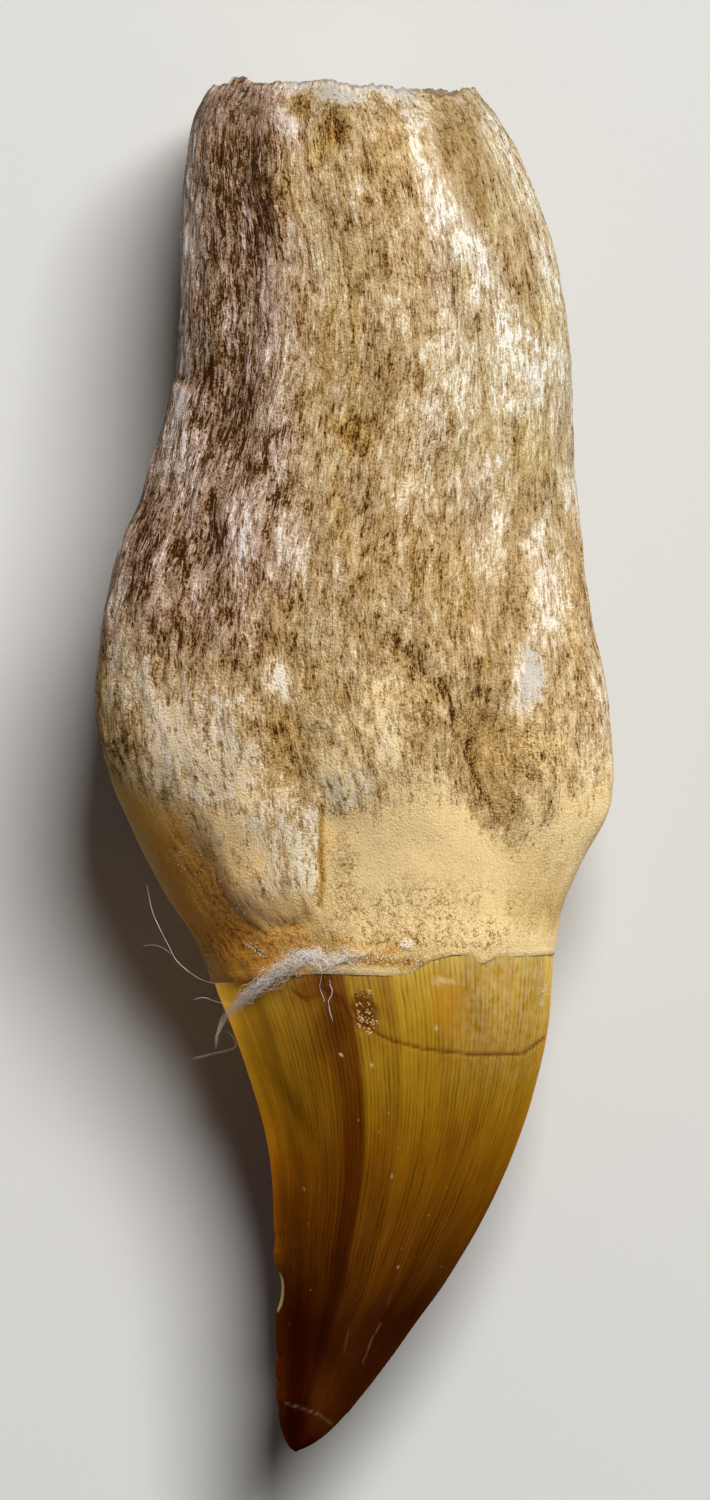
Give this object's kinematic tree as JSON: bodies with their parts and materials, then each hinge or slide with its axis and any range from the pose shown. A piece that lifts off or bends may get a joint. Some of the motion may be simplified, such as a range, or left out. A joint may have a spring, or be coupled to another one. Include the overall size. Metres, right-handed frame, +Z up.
{
  "type": "fossil mosasaur tooth",
  "caption": "Fossil marine reptile tooth lying on its side: hooked enamel crown, sandy collar and fibrous bony root with a broken end.",
  "frame": {"origin": "middle of the tooth's footprint, on the surface that it rests on", "axes": "+Z up; +Y along the tooth, towards the broken root end; the crown hooks towards -X"},
  "size_m": [0.052, 0.1375, 0.0396],
  "materials": {
    "fossil": "fibrous chalky bone with a sandy collar, glossy brown enamel on the crown",
    "cotton": "loose white lint"
  },
  "bodies": {
    "root": {"tooth": "fossil", "cotton_wisp": "cotton"}
  },
  "joints": []
}
